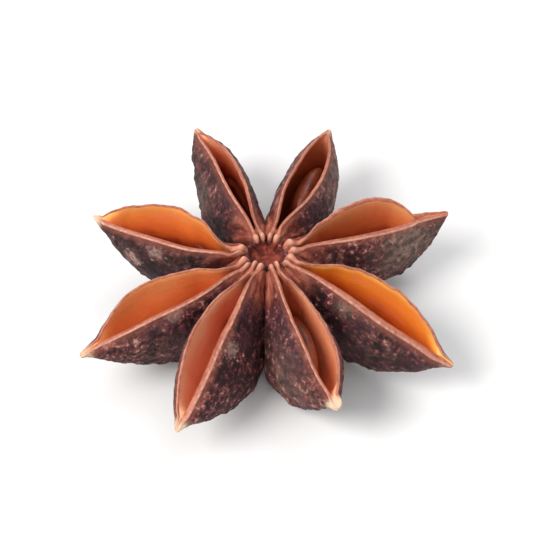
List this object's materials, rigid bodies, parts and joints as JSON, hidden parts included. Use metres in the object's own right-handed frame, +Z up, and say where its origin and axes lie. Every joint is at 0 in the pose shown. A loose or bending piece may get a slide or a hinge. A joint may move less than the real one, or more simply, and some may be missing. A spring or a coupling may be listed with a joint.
{
  "type": "star anise pod",
  "caption": "Dried star-shaped spice pod: pointed boat-shaped carpels split open along their tops round a short column, with loose glossy seeds in some of them.",
  "frame": {"origin": "on the axis of the central column, at the level of the surface that the pod rests on, under the middle of its outline", "axes": "+Z up along the column's axis, out of the open side of the pod; the widely open carpel tips point along azimuths 20, 70, 112, 160, -152, -115, -66 and -30 degrees, counted from +X towards +Y"},
  "size_m": [0.0337, 0.0334, 0.01],
  "materials": {
    "rind": "matte, wrinkled",
    "seed_coat": "glossy"
  },
  "bodies": {
    "root": {"pod": "rind", "seed_back": "seed_coat", "seed_front": "seed_coat"}
  },
  "joints": []
}
